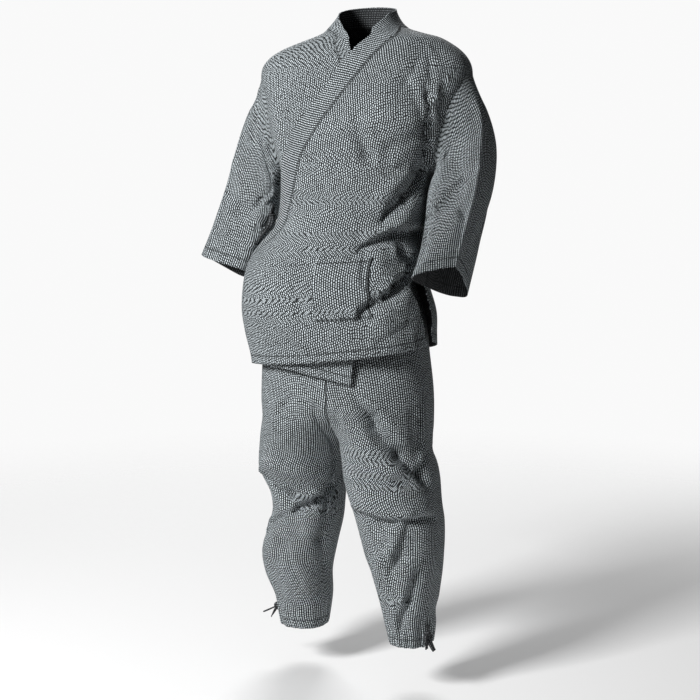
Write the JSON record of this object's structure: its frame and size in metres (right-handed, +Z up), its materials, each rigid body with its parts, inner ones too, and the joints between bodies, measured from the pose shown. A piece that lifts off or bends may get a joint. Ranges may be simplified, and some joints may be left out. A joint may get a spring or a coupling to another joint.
{
  "type": "wrap jacket and trousers set",
  "caption": "Worn wrap-front jacket and tapered trousers in woven cotton, with a diagonal collar band, a patch pocket and tied ankles.",
  "frame": {"origin": "inside the neck hole at the level of the side of the neck, where the garment hangs on the wearer's shoulders", "axes": "+Z up, -Y to the front of the wearer, +X to the wearer's left"},
  "size_m": [0.6763, 0.3389, 1.38],
  "materials": {
    "woven_cloth": "matte charcoal cotton woven with small white dashes",
    "collar_cloth": "matte charcoal cotton, the same weave turned to run as fine stripes",
    "tie_cloth": "matte dark cotton strip"
  },
  "bodies": {
    "root": {"jacket_back": "woven_cloth", "jacket_front_left": "woven_cloth", "jacket_front_right": "woven_cloth", "jacket_collar": "collar_cloth", "sleeve_left": "woven_cloth", "sleeve_right": "woven_cloth", "jacket_pocket": "woven_cloth", "trouser_waistband": "woven_cloth", "trouser_front_left": "woven_cloth", "trouser_back_left": "woven_cloth", "trouser_front_right": "woven_cloth", "trouser_back_right": "woven_cloth", "jacket_tie": "tie_cloth", "ankle_tie_left": "tie_cloth", "ankle_tie_right": "tie_cloth"}
  },
  "joints": []
}
